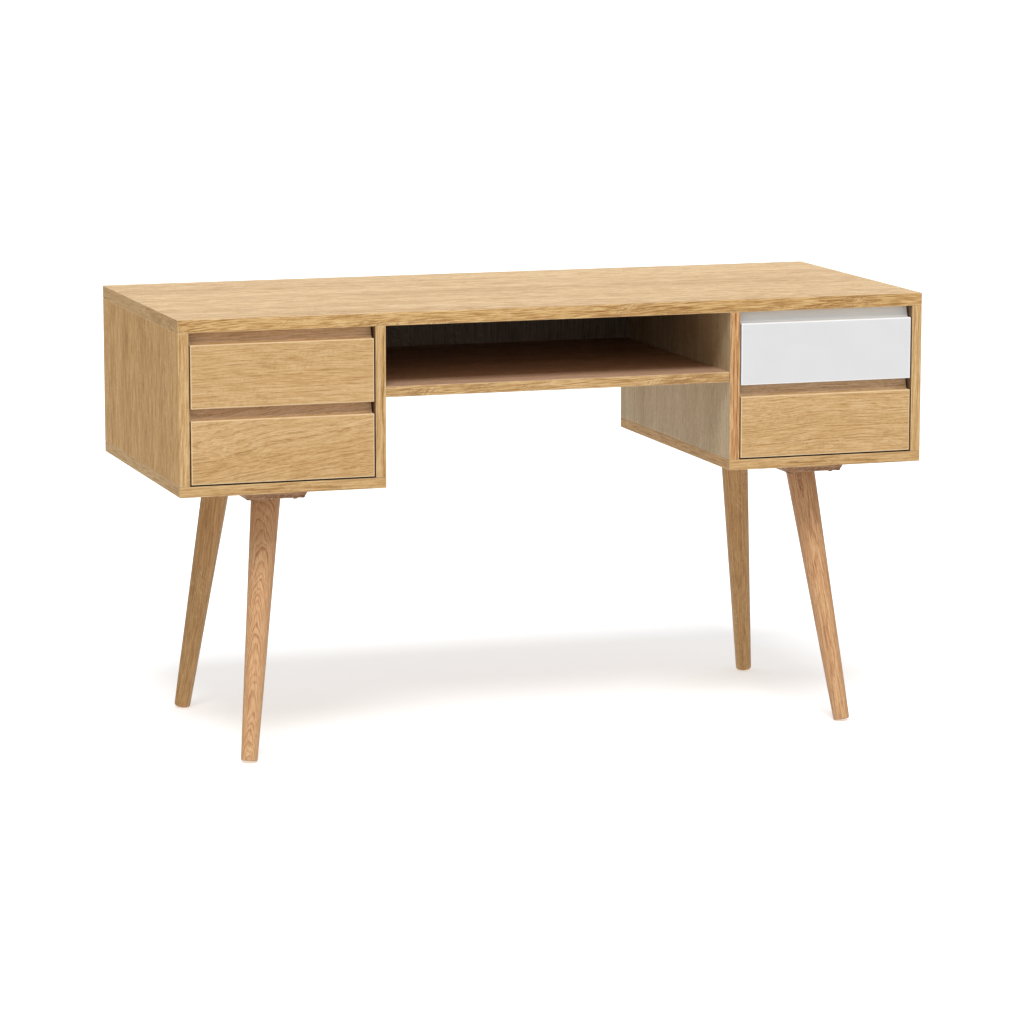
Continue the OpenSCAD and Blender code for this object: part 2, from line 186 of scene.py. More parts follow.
def eased_prism(name, corners, ends, place, radius=EASE, end_radius=EASE):
    """An outline carried along a straight line from ends[0] to ends[1], with eased rims.
    place turns arrays (outline a, outline b, along) into x, y, z. Near a rim the outline is moved
    in by r - r sin(f) while it advances by r - r cos(f), for f from 0 to 90 degrees."""
    moved, worn_and_highlit = eased_outline(corners, radius)
    f = np.linspace(0, math.pi / 2, ARC_STEPS + 1)
    advance = np.concatenate([[0], end_radius * (1 - np.cos(f)), [end_radius + MARGIN]])
    inset = np.concatenate([[end_radius + MARGIN / 2], end_radius * (1 - np.sin(f)), [0]])
    rim = np.concatenate([[0], np.ones(ARC_STEPS + 1), [0]])
    along = np.concatenate([ends[0] + advance, (ends[1] - advance)[::-1]])
    inset = np.concatenate([inset, inset[::-1]])
    rim = np.concatenate([rim, rim[::-1]])
    outline = np.stack([moved(i) for i in inset])
    rows = np.broadcast_to(along[:, None], outline.shape[:2])
    points = np.stack(place(outline[..., 0], outline[..., 1], rows), -1)
    # Eased rims and outer arcs are marked for scuffing and a painted highlight
    wear_and_highlight = np.maximum(rim[:, None], worn_and_highlit[None, :] * (inset < MARGIN / 4)[:, None])
    return finish_mesh(name, points, ring_faces(*outline.shape[:2]), wear_and_highlight)


def along_x(a, b, s):
    return s, a, b


def along_y(a, b, s):
    return a, s, b


def along_z(a, b, s):
    return a, b, s


def rectangle(low, high):
    return [(low[0], low[1]), (high[0], low[1]), (high[0], high[1]), (low[0], high[1])]


def board(name, node, axis, radius=EASE):
    """A straight board the size of a CAD node, its outline carried along one axis."""
    low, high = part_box(node)
    across = {"x": (1, 2), "y": (0, 2), "z": (0, 1)}[axis]
    place = {"x": along_x, "y": along_y, "z": along_z}[axis]
    corners = rectangle([low[i] for i in across], [high[i] for i in across])
    along = "xyz".index(axis)
    return eased_prism(name, corners, (low[along], high[along]), place, radius, radius)


# ---------------- shader helpers

def add(tree, kind, inputs=(), **settings):
    """A shader node: settings are its properties, and inputs its sockets' values or links."""
    node = tree.nodes.new(f"ShaderNode{kind}")
    for key, value in settings.items():
        setattr(node, key, value)
    for key, value in dict(inputs).items():
        if isinstance(value, bpy.types.NodeSocket):
            tree.links.new(value, node.inputs[key])
        else:
            node.inputs[key].default_value = value
    return node


def maths(tree, operation, *values):
    return add(tree, "Math", enumerate(values), operation=operation).outputs[0]


def smooth(tree, value, low, high, bottom=0.0, top=1.0):
    """A smooth step from bottom to top as value goes from low to high."""
    inputs = {"Value": value, "From Min": low, "From Max": high, "To Min": bottom, "To Max": top}
    return add(tree, "MapRange", inputs, interpolation_type="SMOOTHSTEP").outputs["Result"]


def blend_rgb(tree, share, one, two, how="MIX"):
    """Two colours mixed: one where share is 0, and how's mix with two where it is 1."""
    node = add(tree, "Mix", {0: share, 6: one, 7: two}, data_type="RGBA", blend_type=how)
    return node.outputs[2]


def tinted(tree, colour, share, amount, tone, how="MIX"):
    """A colour mixed with a tone by amount times share."""
    return blend_rgb(tree, maths(tree, "MULTIPLY", share, amount), colour, tone, how)


def rubbing_and_highlight(tree):
    """How much each point of a piece is scuffed and lit by a painted highlight, 0 to 1."""
    return add(tree, "Attribute", attribute_name="wear_and_highlight").outputs["Fac"]


def stretched_noise(tree, place, per_metre, detail=2.0, rough=0.5, output="Fac"):
    """Noise with per_metre grains in a metre along X, Y and Z."""
    spread = add(tree, "VectorMath", {0: place, 1: per_metre}, operation="MULTIPLY")
    inputs = {"Vector": spread.outputs[0], "Scale": 1.0, "Detail": detail, "Roughness": rough}
    return add(tree, "TexNoise", inputs, noise_dimensions="3D").outputs[output]


def even_noise(tree, place, per_metre, detail):
    """Noise with the same number of grains in a metre every way."""
    inputs = {"Vector": place, "Scale": per_metre, "Detail": detail}
    return add(tree, "TexNoise", inputs).outputs["Fac"]


def new_paint(name):
    """A new material, its node tree and its shader."""
    paint = bpy.data.materials.new(name)
    paint.use_nodes = True
    return paint, paint.node_tree, paint.node_tree.nodes["Principled BSDF"]


def bumped(tree, shader, height, distance, strength):
    bump = add(tree, "Bump", {"Height": height, "Distance": distance, "Strength": strength})
    tree.links.new(bump.outputs[0], shader.inputs["Normal"])


def object_place(tree):
    return add(tree, "TexCoord").outputs["Object"]


def middle_of(node):
    low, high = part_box(node)
    return (low + high) / 2


# ---------------- camera, floor and light

CAMERA_PLACE = (-2.252, -6.8815, 1.552)
CAMERA_DOWN = 9.338
CAMERA_TURN = -18.159
CAMERA_LENS = 146.84
CAMERA_SENSOR = 36
CAMERA_REACH = 300
FLOOR_RADIUS = 90.0
FLOOR_AROUND = 96
FLOOR_COLOUR = (0.8, 0.8, 0.8, 1)
FLOOR_LIFT = 0.4

# Strengths of the studio's light
KEY = 2.35
KEY_TOWARD = (0.17, 0.53, -0.84)
KEY_SPREAD = 25
CEILING = 0.52
BOUNCE = 1.05
BACKDROP = 0.55
FILL = 0.45
ROOM = 0.02

# Each part of the sky grows or fades between two heights or two depths of a direction
CEILING_GROWS = (0.12, 0.42)
BOUNCE_FADES = (-0.3, -0.1)
BACKDROP_DEPTH = (0.1, 0.7)
BACKDROP_GROWS = (-0.1, 0.02)
BACKDROP_FADES = (0.35, 0.8)
FILL_DEPTH = (-0.6, -0.1)
FILL_GROWS = (-0.15, 0.0)
FILL_FADES = (0.25, 0.5)


def make_camera():
    data = bpy.data.cameras.new("camera")
    data.lens = CAMERA_LENS
    data.sensor_width = CAMERA_SENSOR
    data.clip_end = CAMERA_REACH
    camera = bpy.data.objects.new("camera", data)
    camera.location = CAMERA_PLACE
    camera.rotation_euler = (math.radians(90 - CAMERA_DOWN), 0, math.radians(CAMERA_TURN))
    bpy.context.scene.collection.objects.link(camera)
    bpy.context.scene.camera = camera


def make_floor():
    """A wide level disc under the desk: one ring of points at radius times (cos a, sin a). It casts
    no bounce of its own, because the lower half of the studio's sky stands for that."""
    angle = np.linspace(0, 2 * math.pi, FLOOR_AROUND, endpoint=False)
    points = np.stack([FLOOR_RADIUS * np.cos(angle), FLOOR_RADIUS * np.sin(angle), 0 * angle], -1)
    mesh = bpy.data.meshes.new("floor")
    mesh.from_pydata(points.tolist(), [], [list(range(FLOOR_AROUND))])
    floor = bpy.data.objects.new("floor", mesh)
    bpy.context.scene.collection.objects.link(floor)
    floor.visible_diffuse = False
    floor.visible_shadow = False
    floor.visible_glossy = False
    paint, _, shader = new_paint("pale_floor")
    shader.inputs["Base Color"].default_value = FLOOR_COLOUR
    shader.inputs["Roughness"].default_value = 1.0
    shader.inputs["Specular IOR Level"].default_value = 0.0
    shader.inputs["Emission Color"].default_value = (1, 1, 1, 1)
    shader.inputs["Emission Strength"].default_value = FLOOR_LIFT
    mesh.materials.append(paint)


def sun(name, strength, toward, spread):
    """A soft lamp at infinity that shines along toward. Its apparent size is spread, in degrees."""
    data = bpy.data.lights.new(name, "SUN")
    data.energy = strength
    data.angle = math.radians(spread)
    lamp = bpy.data.objects.new(name, data)
    lamp.rotation_euler = Vector(toward).to_track_quat("-Z", "Y").to_euler()
    bpy.context.scene.collection.objects.link(lamp)


def make_sky():
    """A studio as seen from the desk: an even ceiling, a pale floor, a bright backdrop behind the
    desk and a soft fill low in front of it. The ceiling and the floor are smooth steps of a
    direction's height, and the backdrop and the fill are a step of its depth times two of its
    height."""
    world = bpy.data.worlds.new("studio")
    world.use_nodes = True
    tree = world.node_tree
    sky = tree.nodes["Background"]
    sky.inputs["Color"].default_value = (1, 1, 1, 1)
    way = add(tree, "SeparateXYZ", {"Vector": add(tree, "TexCoord").outputs["Generated"]})
    height, depth = way.outputs["Z"], way.outputs["Y"]

    def band(by_depth, grows, fades):
        rising = maths(tree, "MULTIPLY", by_depth, smooth(tree, height, *grows))
        return maths(tree, "MULTIPLY", rising, smooth(tree, height, *fades, 1.0, 0.0))

    ceiling = smooth(tree, height, *CEILING_GROWS, 0.0, CEILING)
    bounce = smooth(tree, height, *BOUNCE_FADES, BOUNCE, 0.0)
    behind = smooth(tree, depth, *BACKDROP_DEPTH, 0.0, BACKDROP)
    before = smooth(tree, depth, *FILL_DEPTH, FILL, 0.0)
    bands = maths(
        tree, "ADD",
        band(behind, BACKDROP_GROWS, BACKDROP_FADES), band(before, FILL_GROWS, FILL_FADES),
    )
    level = maths(tree, "ADD", maths(tree, "ADD", ceiling, bounce), bands)
    tree.links.new(maths(tree, "ADD", level, ROOM), sky.inputs["Strength"])
    bpy.context.scene.world = world


def make_light():
    bpy.context.scene.view_settings.view_transform = "Standard"
    make_sky()
    sun("key", KEY, KEY_TOWARD, KEY_SPREAD)


make_camera()
make_floor()
make_light()


# ---------------- carcass

def put(piece, body, slot, *nodes):
    """The piece rides on a body and stands for its CAD nodes, which are hidden. slot is not used.
    """
    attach(piece, body)
    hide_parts(*nodes)
    return piece


def grooved(low, high, groove, depth, side):
    """Corners of an upright rectangle with a groove, from groove[0] to groove[1] up its left (-1)
    or right (1) edge."""
    face = high[0] if side > 0 else low[0]
    back = low[0] if side > 0 else high[0]
    cut = face - side * depth
    corners = [
        (back, low[1]), (face, low[1]), (face, groove[0]), (cut, groove[0]),
        (cut, groove[1]), (face, groove[1]), (face, high[1]), (back, high[1]),
    ]
    return corners if side > 0 else corners[::-1]


def groove_radii(side, ease):
    """The outer corners are eased, the groove's corners only broken."""
    radii = np.full(8, BROKEN)
    radii[[0, 1, 6, 7]] = ease
    return radii if side > 0 else radii[::-1]


def side_panel(name, back_node, side):
    """A pedestal's side: its level section has the back panel's groove, and is carried upwards."""
    low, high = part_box(name)
    back_low, back_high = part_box(back_node)
    groove = (back_low.y - JOINT_GAP, back_high.y + JOINT_GAP)
    tongue_end = back_low.x - TONGUE_END_GAP if side > 0 else back_high.x + TONGUE_END_GAP
    depth = abs((high.x if side > 0 else low.x) - tongue_end)
    corners = grooved((low.x, low.y), (high.x, high.y), groove, depth, side)
    return eased_prism(f"{name}_board", corners, (low.z, high.z), along_z, groove_radii(side, EASE))


def make_carcass():
    pieces = {"desk_top": board("desk_top_board", "desk_top", "x")}
    for end, out in (("left", -1), ("right", 1)):
        back = f"{end}_back_panel"
        for where, side in (("outer", -out), ("inner", out)):
            node = f"{end}_{where}_side"
            pieces[node] = side_panel(node, back, side)
        pieces[f"{end}_base_board"] = board(f"{end}_base_plank", f"{end}_base_board", "x")
        pieces[back] = board(f"{end}_back_sheet", back, "z", BROKEN)
    pieces["centre_back_panel"] = board("centre_back_sheet", "centre_back_panel", "x", BROKEN)
    pieces["centre_shelf"] = board("centre_shelf_board", "centre_shelf", "x")
    for node, piece in pieces.items():
        put(piece, "carcass", "oak_board", node)
    return pieces


# ---------------- legs and their plates

def rounded_path(corners, radii):
    """An open path with its inner corners made curves, and how much each point is scuffed and
    given a painted highlight: 1 on the curves, 0 elsewhere.
    A curve of angle a takes radius * tan(a / 2) off both its edges, and its points are
    (1 - t)^2 * start + 2 t (1 - t) * corner + t^2 * end."""
    corners = np.asarray(corners, float)
    along = unit(np.diff(corners, axis=0))
    before, after = along[:-1], along[1:]
    cosine = (before * after).sum(-1)
    cut = np.asarray(radii) * np.sqrt((1 - cosine) / (1 + cosine))
    start = corners[1:-1] - cut[:, None] * before
    end = corners[1:-1] + cut[:, None] * after
    t = np.linspace(0, 1, ARC_STEPS + 1)[None, :, None]
    corner = corners[1:-1, None]
    bend = (1 - t) ** 2 * start[:, None] + 2 * t * (1 - t) * corner + t**2 * end[:, None]
    margin_in = start - MARGIN * before
    margin_out = end + MARGIN * after
    middle = np.concatenate([margin_in[:, None], bend, margin_out[:, None]], 1)
    worn_and_highlit = np.zeros(middle.shape[:2])
    worn_and_highlit[:, 1:-1] = 1
    path = np.concatenate([corners[:1], middle.reshape(-1, 2), corners[-1:]])
    return path, np.concatenate([[0], worn_and_highlit.ravel(), [0]])


def leg_plate(name):
    """A block with a bevel round its lower edge: a rectangle moved inwards by an inset that
    follows the height along a path with rounded corners."""
    low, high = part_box(name)
    middle = PLATE_BEVEL_IN + 3 * MARGIN
    path, rubbed_and_highlit = rounded_path(
        [
            (middle, low.z), (PLATE_BEVEL_IN, low.z), (0, low.z + PLATE_BEVEL_UP),
            (0, high.z), (middle, high.z),
        ],
        [*PLATE_BEVEL_EASE, EASE],
    )
    moved, worn_and_highlit = eased_outline(rectangle((low.x, low.y), (high.x, high.y)), PLATE_CORNER)
    outline = np.stack([moved(inset) for inset in path[:, 0]])
    rows = np.broadcast_to(path[:, 1:], outline.shape[:2])
    points = np.stack([outline[..., 0], outline[..., 1], rows], -1)
    # The bevel's curves and the corners' arcs are marked for scuffing and a painted highlight
    wear_and_highlight = np.maximum(rubbed_and_highlit[:, None], worn_and_highlit[None, :] * (path[:, 0] < MARGIN)[:, None])
    return finish_mesh(f"{name}_block", points, ring_faces(*outline.shape[:2]), wear_and_highlight)


def leg_axis(leg, plate):
    """Where a leg's axis meets the plate, and the axis's direction down to the foot. The foot's
    middle is the outline's outer corner, moved in by half the foot's diameter and lifted by half
    the diameter times the axis's lean, because the foot is cut square to the axis."""
    low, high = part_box(leg)
    plate_low, plate_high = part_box(plate)
    top = Vector(((plate_low.x + plate_high.x) / 2, (plate_low.y + plate_high.y) / 2, high.z))
    out = Vector((math.copysign(1, top.x), math.copysign(1, top.y), 0))
    far = Vector((high.x if out.x > 0 else low.x, high.y if out.y > 0 else low.y, 0))
    foot = far - out * (LEG_FOOT_D / 2)
    foot.z = LEG_FOOT_D / 2 * math.hypot(foot.x - top.x, foot.y - top.y) / high.z
    return top, (foot - top).normalized()


def turned_leg(name, plate):
    """A cone about a leaning axis. At angle a and distance s down the axis a point is
    top + s * axis + r(s) * (u cos a + v sin a). The rows share s from the foot to where the
    cone's side meets the plate: there s is -r(0) * (u.z cos a + v.z sin a) / (axis.z + taper *
    the same sum)."""
    top, axis = leg_axis(name, plate)
    low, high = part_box(name)
    axis = np.array(axis)
    u = unit(np.cross(axis, (0, 1, 0)))
    v = np.cross(axis, u)
    angle = np.linspace(0, 2 * math.pi, LEG_AROUND, endpoint=False)
    spoke = np.cos(angle)[:, None] * u + np.sin(angle)[:, None] * v
    lowest = (LEG_FOOT_D / 2 - FOOT_ROUND) * math.hypot(axis[0], axis[1])
    length = (high.z - low.z - lowest - FOOT_ROUND * (1 + axis[2])) / -axis[2]
    taper = (LEG_FOOT_D - LEG_TOP_D) / 2 / length
    start = -LEG_TOP_D / 2 * spoke[:, 2] / (axis[2] + taper * spoke[:, 2])
    share = np.linspace(0, 1, LEG_ROWS)[:, None]
    side = start[None, :] * (1 - share) + (length - FOOT_ROUND) * share
    side_r = LEG_TOP_D / 2 + taper * side
    f = np.linspace(0, math.pi / 2, 2 * ARC_STEPS + 1)[1:, None]
    foot = np.broadcast_to(length - FOOT_ROUND * (1 - np.sin(f)), (len(f), LEG_AROUND))
    foot_r = np.broadcast_to(LEG_FOOT_D / 2 - FOOT_ROUND * (1 - np.cos(f)), foot.shape)
    s = np.concatenate([side, foot])
    r = np.concatenate([side_r, foot_r])
    points = np.array(top) + s[..., None] * axis + r[..., None] * spoke[None]
    return finish_mesh(f"{name}_turned", points, ring_faces(*s.shape))


def make_legs():
    pieces = {}
    for face in FACES:
        for end in ENDS:
            leg = f"{face}_{end}_leg"
            plate = f"{leg}_plate"
            pieces[leg] = put(turned_leg(leg, plate), "carcass", "oak_leg", leg)
            pieces[plate] = put(leg_plate(plate), "carcass", "oak_leg", plate)
    return pieces


# ---------------- drawers

def drawer_front(name):
    """A front's upright section, with the finger recess along its upper edge, carried sideways."""
    low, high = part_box(name)
    face = high.z - GRIP_H
    corners = [
        (low.y, low.z), (high.y, low.z), (high.y, high.z),
        (low.y + GRIP_LEDGE + GRIP_LEAN, high.z), (low.y + GRIP_LEDGE, face), (low.y, face),
    ]
    radii = np.array([FRONT_EASE, EASE, EASE, BROKEN, GRIP_ROOT, FRONT_EASE])
    return eased_prism(f"{name}_panel", corners, (low.x, high.x), along_x, radii, FRONT_EASE)


def drawer_side(name, bottom, side):
    """A drawer side's upright section, with the bottom's groove, carried from front to back."""
    low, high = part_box(name)
    bottom_low, bottom_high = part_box(bottom)
    groove = (bottom_low.z, bottom_high.z + JOINT_GAP)
    edge = bottom_low.x - TONGUE_END_GAP if side > 0 else bottom_high.x + TONGUE_END_GAP
    depth = abs((high.x if side > 0 else low.x) - edge)
    corners = grooved((low.x, low.z), (high.x, high.z), groove, depth, side)
    radii = groove_radii(side, BOX_EASE)
    return eased_prism(f"{name}_board", corners, (low.y, high.y), along_y, radii, BOX_EASE)


def make_drawers():
    pieces = {}
    for drawer in DRAWERS:
        node = f"{drawer}_drawer"
        bottom = f"{node}_bottom"
        made = {
            f"{node}_front": drawer_front(f"{node}_front"),
            f"{node}_left_side": drawer_side(f"{node}_left_side", bottom, 1),
            f"{node}_right_side": drawer_side(f"{node}_right_side", bottom, -1),
            f"{node}_back": board(f"{node}_back_board", f"{node}_back", "x", BOX_EASE),
            bottom: board(f"{bottom}_sheet", bottom, "y", BROKEN),
        }
        front_slot = "white_lacquer" if drawer == WHITE_DRAWER else "oak_front"
        for piece_node, piece in made.items():
            slot = front_slot if piece_node.endswith("_front") else "drawer_wood"
            put(piece, node, slot, piece_node)
        pieces.update(made)
    return pieces


# ---------------- balls of the runners

def balls(name, centres):
    """Balls at the given centres: centre + r * (sin p cos a, sin p sin a, cos p), where p goes from
    pole to pole and a around."""
    p = np.linspace(0, math.pi, BALL_ROWS)[:, None]
    a = np.linspace(0, 2 * math.pi, BALL_AROUND, endpoint=False)[None, :]
    outwards = np.sin(p) * np.cos(a), np.sin(p) * np.sin(a), np.cos(p) + 0 * a
    one = BALL_D / 2 * np.stack(outwards, -1).reshape(-1, 3)
    quads = ring_quads(BALL_ROWS, BALL_AROUND)
    points = centres[:, None] + one[None]
    faces = quads[None] + (np.arange(len(centres)) * len(one))[:, None, None]
    return finish_mesh(name, points, faces.reshape(-1, 4).tolist())


def cage_strips(name, strips):
    """Thin flat bars, each given by its lowest and highest corners, all in one mesh. A corner is
    low + (high - low) * a corner of the unit cube."""
    low, high = (np.array(ends) for ends in zip(*strips))
    unit_cube = np.array([(x, y, z) for x in (0, 1) for y in (0, 1) for z in (0, 1)])
    points = low[:, None] + unit_cube[None] * (high - low)[:, None]
    sides = np.array([
        (0, 1, 3, 2), (4, 6, 7, 5), (0, 4, 5, 1), (2, 3, 7, 6), (0, 2, 6, 4), (1, 5, 7, 3),
    ])
    faces = sides[None] + (np.arange(len(low)) * 8)[:, None, None]
    return finish_mesh(name, points, faces.reshape(-1, 4).tolist())


def ball_lines(drawer):
    """Start of each row of balls in a drawer's pair of runners."""
    low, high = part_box(f"{drawer}_cabinet_runners")
    middle_z = (low.z + high.z) / 2
    return np.array([
        (wall + inwards * reach, low.y + start, middle_z + up * rise)
        for wall, inwards in ((low.x, 1), (high.x, -1))
        for rise, reach, start in (
            (OUTER_ROW, OUTER_REACH, OUTER_START), (INNER_ROW, INNER_REACH, INNER_START),
        )
        for up in (-1, 1)
    ])


def make_ball_rows():
    """Between a runner's members lie four rows of balls. The outer rows, which run against the
    cabinet member, sit in the rear half of the middle member, and the inner rows in its front
    half, so both stay between their members over the whole travel."""
    spaced = CAGE_L * (np.arange(BALLS_IN_ROW) + 0.5) / BALLS_IN_ROW
    along = np.stack([0 * spaced, spaced, 0 * spaced], -1)
    half = np.array((CAGE_W / 2, 0, CAGE_T / 2))
    made = []
    for drawer in DRAWERS:
        starts = ball_lines(drawer)
        centres = (starts[:, None] + along[None]).reshape(-1, 3)
        strips = [(start - half, start + half + (0, CAGE_L, 0)) for start in starts]
        rows = balls(f"{drawer}_runner_balls", centres)
        cages = cage_strips(f"{drawer}_runner_cages", strips)
        for piece in (rows, cages):
            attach(piece, f"{drawer}_runner_slide")
        made.append((rows, cages))
    return made


pieces = {**make_carcass(), **make_legs(), **make_drawers()}
ball_rows = make_ball_rows()


# ---------------- oak

def new_group(name, inputs, outputs):
    """An empty shader group with sockets of the given kinds, and the nodes at its two ends."""
    tree = bpy.data.node_groups.new(name, "ShaderNodeTree")
    for key, kind in inputs.items():
        tree.interface.new_socket(key, in_out="INPUT", socket_type=f"NodeSocket{kind}")
    for key, kind in outputs.items():
        tree.interface.new_socket(key, in_out="OUTPUT", socket_type=f"NodeSocket{kind}")
    return tree, tree.nodes.new("NodeGroupInput"), tree.nodes.new("NodeGroupOutput")


def push(tree, place, per_metre, amount):
    """The place pushed sideways by slow noise, by up to about half of amount."""
    noise = stretched_noise(tree, place, per_metre, 2.0, 0.45, "Color")
    centred = add(tree, "VectorMath", {0: noise, 1: (0.5, 0.5, 0.5)}, operation="SUBTRACT")
    scaled = add(tree, "VectorMath", {0: centred.outputs[0], "Scale": amount}, operation="SCALE")
    return add(tree, "VectorMath", {0: place, 1: scaled.outputs[0]}, operation="ADD").outputs[0]


# How many grains of each kind there are in a metre, along the trunk and across it
WANDERS = (1.6, 5.0, 5.0)
SWIRLS = (8.0, 16.0, 16.0)
RIPPLES = (16.0, 110.0, 110.0)
FIBRES = (1.1, 40.0, 40.0)
STREAKS = (22.0, 640.0, 640.0)
DRIFTS = (0.9, 11.0, 11.0)
PORES = (110.0, 820.0, 820.0)
RAYS = (95.0, 520.0, 80.0)
RAY_CLUSTERS = (6.0, 24.0, 24.0)
RAY_SLANT = 0.6
# The years' noise: its pace over the rings, and how many rings it moves them by
YEARS_PACE = 0.37
YEARS_SHIFT = 1.6
# Shares of a ring over which its early wood sets in and ends
EARLY_STARTS = (0.0, 0.15)
EARLY_ENDS = (0.2, 0.6)


def make_oak_figure():
    """Oak as a solid: X runs along the trunk, whose pith is the X axis. The distance from a
    wandering pith, over the width of a ring, gives the rings. Long thin noise gives the fibres and
    the fine streaks, shorter noise, strongest in each ring's early wood, gives the open pores, and
    slanted flecks stand in loose clusters where the rays come out."""
    tree, given, result = new_group(
        "oak_figure",
        {"Place": "Vector", "Ring": "Float", "Wander": "Float", "Swirl": "Float"},
        {"Ring tone": "Float", "Fibre": "Float", "Streak": "Float", "Drift": "Float",
         "Pore": "Float", "Fleck": "Float"},
    )
    place = given.outputs["Place"]
    moved = push(tree, place, WANDERS, given.outputs["Wander"])
    moved = push(tree, moved, SWIRLS, given.outputs["Swirl"])
    flat = add(tree, "VectorMath", {0: moved, 1: (0, 1, 1)}, operation="MULTIPLY")
    reach = add(tree, "VectorMath", {0: flat.outputs[0]}, operation="LENGTH").outputs["Value"]
    ripple = stretched_noise(tree, place, RIPPLES, 3.0, 0.6)
    rings = maths(tree, "DIVIDE", reach, given.outputs["Ring"])
    rings = maths(tree, "MULTIPLY_ADD", ripple, 1.0, rings)
    pace = maths(tree, "MULTIPLY", rings, YEARS_PACE)
    years = add(tree, "TexNoise", {"W": pace, "Scale": 1.0, "Detail": 1.0}, noise_dimensions="1D")
    years = years.outputs["Fac"]
    rings = maths(tree, "MULTIPLY_ADD", years, YEARS_SHIFT, rings)
    season = maths(tree, "FRACT", rings)
    started = smooth(tree, season, *EARLY_STARTS)
    early = maths(tree, "MULTIPLY", started, smooth(tree, season, *EARLY_ENDS, 1.0, 0.0))
    tone = maths(tree, "MULTIPLY", early, smooth(tree, years, 0.3, 0.7, 0.35, 1.0))
    fibre = stretched_noise(tree, moved, FIBRES, 5.0, 0.72)
    streak = smooth(tree, stretched_noise(tree, moved, STREAKS, 1.5, 0.6), 0.36, 0.64)
    drift = stretched_noise(tree, place, DRIFTS, 2.0, 0.5)
    grains = stretched_noise(tree, moved, PORES, 1.5, 0.6)
    pore = smooth(tree, grains, 0.48, 0.6)
    pore = maths(tree, "MULTIPLY", pore, maths(tree, "MULTIPLY_ADD", tone, 0.6, 0.4))
    slant = add(tree, "VectorRotate", {"Vector": place, "Angle": RAY_SLANT}, rotation_type="Z_AXIS")
    rays = stretched_noise(tree, slant.outputs[0], RAYS, 1.0, 0.5)
    clusters = smooth(tree, stretched_noise(tree, place, RAY_CLUSTERS, 1.0, 0.5), 0.52, 0.64)
    fleck = maths(tree, "MULTIPLY", smooth(tree, rays, 0.56, 0.66), clusters)
    for key, value in (("Ring tone", tone), ("Fibre", fibre), ("Streak", streak), ("Drift", drift),
                       ("Pore", pore), ("Fleck", fleck)):
        tree.links.new(value, result.inputs[key])
    return tree


OAK_FIGURE = make_oak_figure()
# Depth of the open pores
OAK_RELIEF = 0.08 * MM

# Tones of each oak board: the palest streaks, the ground and the deepest streaks, and their places
# on the ramp
TONE_STOPS = (0.08, 0.5, 0.92)
OAK_TONES = ((0.74, 0.51, 0.275), (0.60, 0.375, 0.158), (0.40, 0.215, 0.07))
# Painted light: the top's tones are paler than the other boards', for the light and sheen on the
# top
TOP_PAINTED_LIGHT_TONES = ((0.85, 0.61, 0.325), (0.655, 0.42, 0.173), (0.44, 0.24, 0.08))
SIDE_TONES = ((0.75, 0.475, 0.20), (0.60, 0.33, 0.105), (0.42, 0.205, 0.05))
EDGE_TONES = ((0.69, 0.47, 0.23), (0.55, 0.333, 0.13), (0.35, 0.18, 0.057))
LIPPING_TONES = ((0.72, 0.48, 0.215), (0.545, 0.315, 0.107), (0.33, 0.16, 0.045))
INNER_EDGE_TONES = ((0.71, 0.42, 0.195), (0.535, 0.27, 0.10), (0.32, 0.13, 0.04))
# Painted reflection: paler, greyer tones for the faces that look at the knees, for the white
# backdrop's sheen on them
BACKDROP_REFLECTION_TONES = ((0.66, 0.555, 0.38), (0.55, 0.435, 0.265), (0.42, 0.31, 0.165))
# Painted light: paler tones for the finger recesses of the oak fronts, against the shade under the
# top
RECESS_PAINTED_LIGHT_TONES = ((0.84, 0.62, 0.42), (0.68, 0.46, 0.26), (0.46, 0.27, 0.12))
# Painted shade: the shelf's tones are darker and redder, for the shade under the top
SHADED_SHELF_TONES = ((0.60, 0.40, 0.27), (0.46, 0.285, 0.185), (0.32, 0.18, 0.105))
# Painted shade: dark greyish tones for the back panels' faces that look forwards, for the deep
# shade behind the drawers and the knee space
BAY_BACK_SHADE_TONES = ((0.34, 0.28, 0.23), (0.26, 0.21, 0.17), (0.18, 0.14, 0.11))
LEG_TONES = ((0.72, 0.45, 0.24), (0.56, 0.305, 0.142), (0.34, 0.15, 0.066))
# Painted shade: the rear legs take darker tones, for the shade under the desk
SHADED_REAR_LEG_TONES = ((0.60, 0.36, 0.15), (0.46, 0.25, 0.087), (0.30, 0.14, 0.042))
PLATE_TONES = ((0.42, 0.225, 0.12), (0.29, 0.145, 0.075), (0.16, 0.07, 0.032))
# What the pores, the flecks, scuffed eased edges with their painted highlight, and the painted
# shade inside the pedestals do to those tones
PAINTED_INSIDE_SHADE = (0.40, 0.46, 0.80, 1)
PORE_TONE = (0.60, 0.48, 0.38, 1)
PALE_FLECK = (0.84, 0.66, 0.42, 1)
DARK_FLECK = (0.34, 0.19, 0.08, 1)
RUBBED_OAK_AND_HIGHLIGHT = (0.84, 0.65, 0.40, 1)


def in_trunk(tree, centre, along, face, pith, shift, lean):
    """The object's coordinates in the trunk's own frame, where X runs along the pith. The pith lies
    at the distance pith from the board's centre, towards face, moved sideways by shift, and leans
    by lean radians against the board."""
    x = Vector(along).normalized()
    z = (Vector(face) - x * Vector(face).dot(x)).normalized()
    side = z.cross(x)
    trunk_x = (x * math.cos(lean) + z * math.sin(lean)).normalized()
    trunk_y = z.cross(trunk_x).normalized()
    trunk = Matrix((trunk_x, trunk_y, trunk_x.cross(trunk_y))).transposed()
    inputs = {
        "Vector": object_place(tree),
        "Location": Vector(centre) + z * pith + side * shift,
        "Rotation": trunk.to_euler(),
    }
    return add(tree, "Mapping", inputs, vector_type="TEXTURE").outputs[0]


